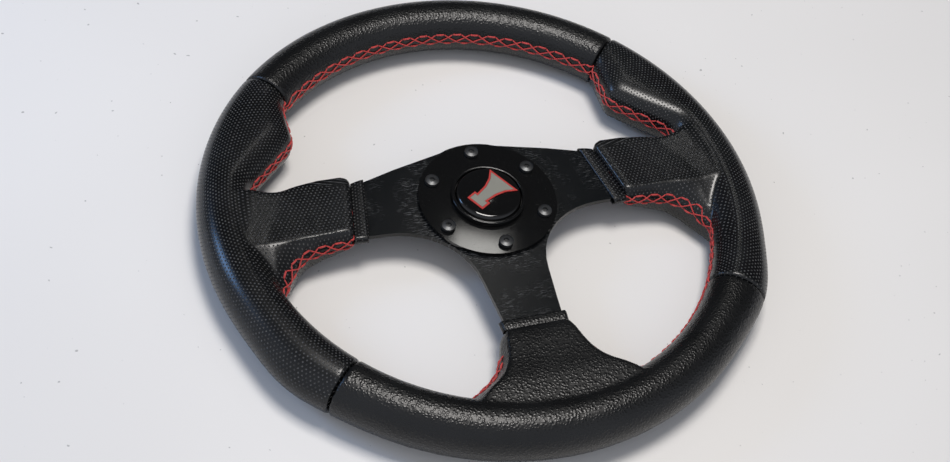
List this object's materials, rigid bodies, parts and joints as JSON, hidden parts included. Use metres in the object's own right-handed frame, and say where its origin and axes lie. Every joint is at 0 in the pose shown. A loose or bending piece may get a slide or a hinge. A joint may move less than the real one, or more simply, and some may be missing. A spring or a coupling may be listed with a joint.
{
  "type": "quick release steering wheel",
  "caption": "Round sport steering wheel with T-layout spokes, leather grips with thumb rests, a horn button and a ball-lock quick release hub.",
  "frame": {"origin": "centre of the bounding box at the bottom, which is the point on the steering axis in the plane of the quick-release sleeve's end face that the wheel lies on", "axes": "+Z along the steering axis towards the driver, +Y towards the top of the wheel (12 o'clock), +X towards the driver's right"},
  "size_m": [0.344, 0.3439, 0.0355],
  "materials": {
    "pebbled_leather": "pebble grain, semi-gloss",
    "perforated_leather": "perforated, satin",
    "anodised_plate": "black anodised, satin with fine brush marks",
    "gloss_ring": "gloss black",
    "gloss_black": "gloss black",
    "screw_steel": "dark grey steel",
    "ball_steel": "polished",
    "spring_steel": "plain steel",
    "contact_brass": "plain brass",
    "black_plastic": "moulded",
    "black_alloy": "black anodised",
    "collar_alloy": "clear anodised",
    "hoop_alloy": "bare",
    "emblem_red": "printed red",
    "emblem_grey": "printed grey"
  },
  "bodies": {
    "wheel": {"bottom_band": "pebbled_leather", "bottom_wrap": "pebbled_leather", "horn_bezel": "gloss_black", "horn_contact_fixed": "contact_brass", "horn_housing": "black_plastic", "horn_spring": "spring_steel", "left_band": "perforated_leather", "left_grip": "perforated_leather", "qr_body": "black_alloy", "qr_spring": "spring_steel", "retaining_ring": "spring_steel", "right_band": "perforated_leather", "right_grip": "perforated_leather", "rim_hoop": "hoop_alloy", "screw_1": "screw_steel", "screw_2": "screw_steel", "screw_3": "screw_steel", "screw_4": "screw_steel", "screw_5": "screw_steel", "screw_6": "screw_steel", "spoke_plate": "anodised_plate", "top_wrap": "pebbled_leather", "trim_ring": "gloss_ring"},
    "horn_button": {"horn_cap": "gloss_black", "horn_contact_moving": "contact_brass", "emblem_edge": "emblem_red", "emblem_face": "emblem_grey"},
    "release_collar": {"qr_collar": "collar_alloy"},
    "ball_1": {"locking_ball_1": "ball_steel"},
    "ball_2": {"locking_ball_2": "ball_steel"},
    "ball_3": {"locking_ball_3": "ball_steel"}
  },
  "joints": [
    {"name": "horn_push", "type": "slide", "parent": "wheel", "child": "horn_button", "axis": [0, 0, -1], "range_m": [0, 0.002], "stiffness_N_per_m": 2500, "springref_m": -0.002, "deforming": ["horn_spring"]},
    {"name": "collar_pull", "type": "slide", "parent": "wheel", "child": "release_collar", "axis": [0, 0, 1], "range_m": [0, 0.004], "stiffness_N_per_m": 2000, "springref_m": -0.006, "deforming": ["qr_spring"]},
    {"name": "ball_1_slide", "type": "slide", "parent": "wheel", "child": "ball_1", "axis": [0, 1, 0], "range_m": [0, 0.0012]},
    {"name": "ball_2_slide", "type": "slide", "parent": "wheel", "child": "ball_2", "axis": [-0.866, -0.5, 0], "range_m": [0, 0.0012]},
    {"name": "ball_3_slide", "type": "slide", "parent": "wheel", "child": "ball_3", "axis": [0.866, -0.5, 0], "range_m": [0, 0.0012]}
  ],
  "couplings": [
    {"joint": "ball_1_slide", "follows": "collar_pull", "ratio": 0.3},
    {"joint": "ball_2_slide", "follows": "collar_pull", "ratio": 0.3},
    {"joint": "ball_3_slide", "follows": "collar_pull", "ratio": 0.3}
  ]
}
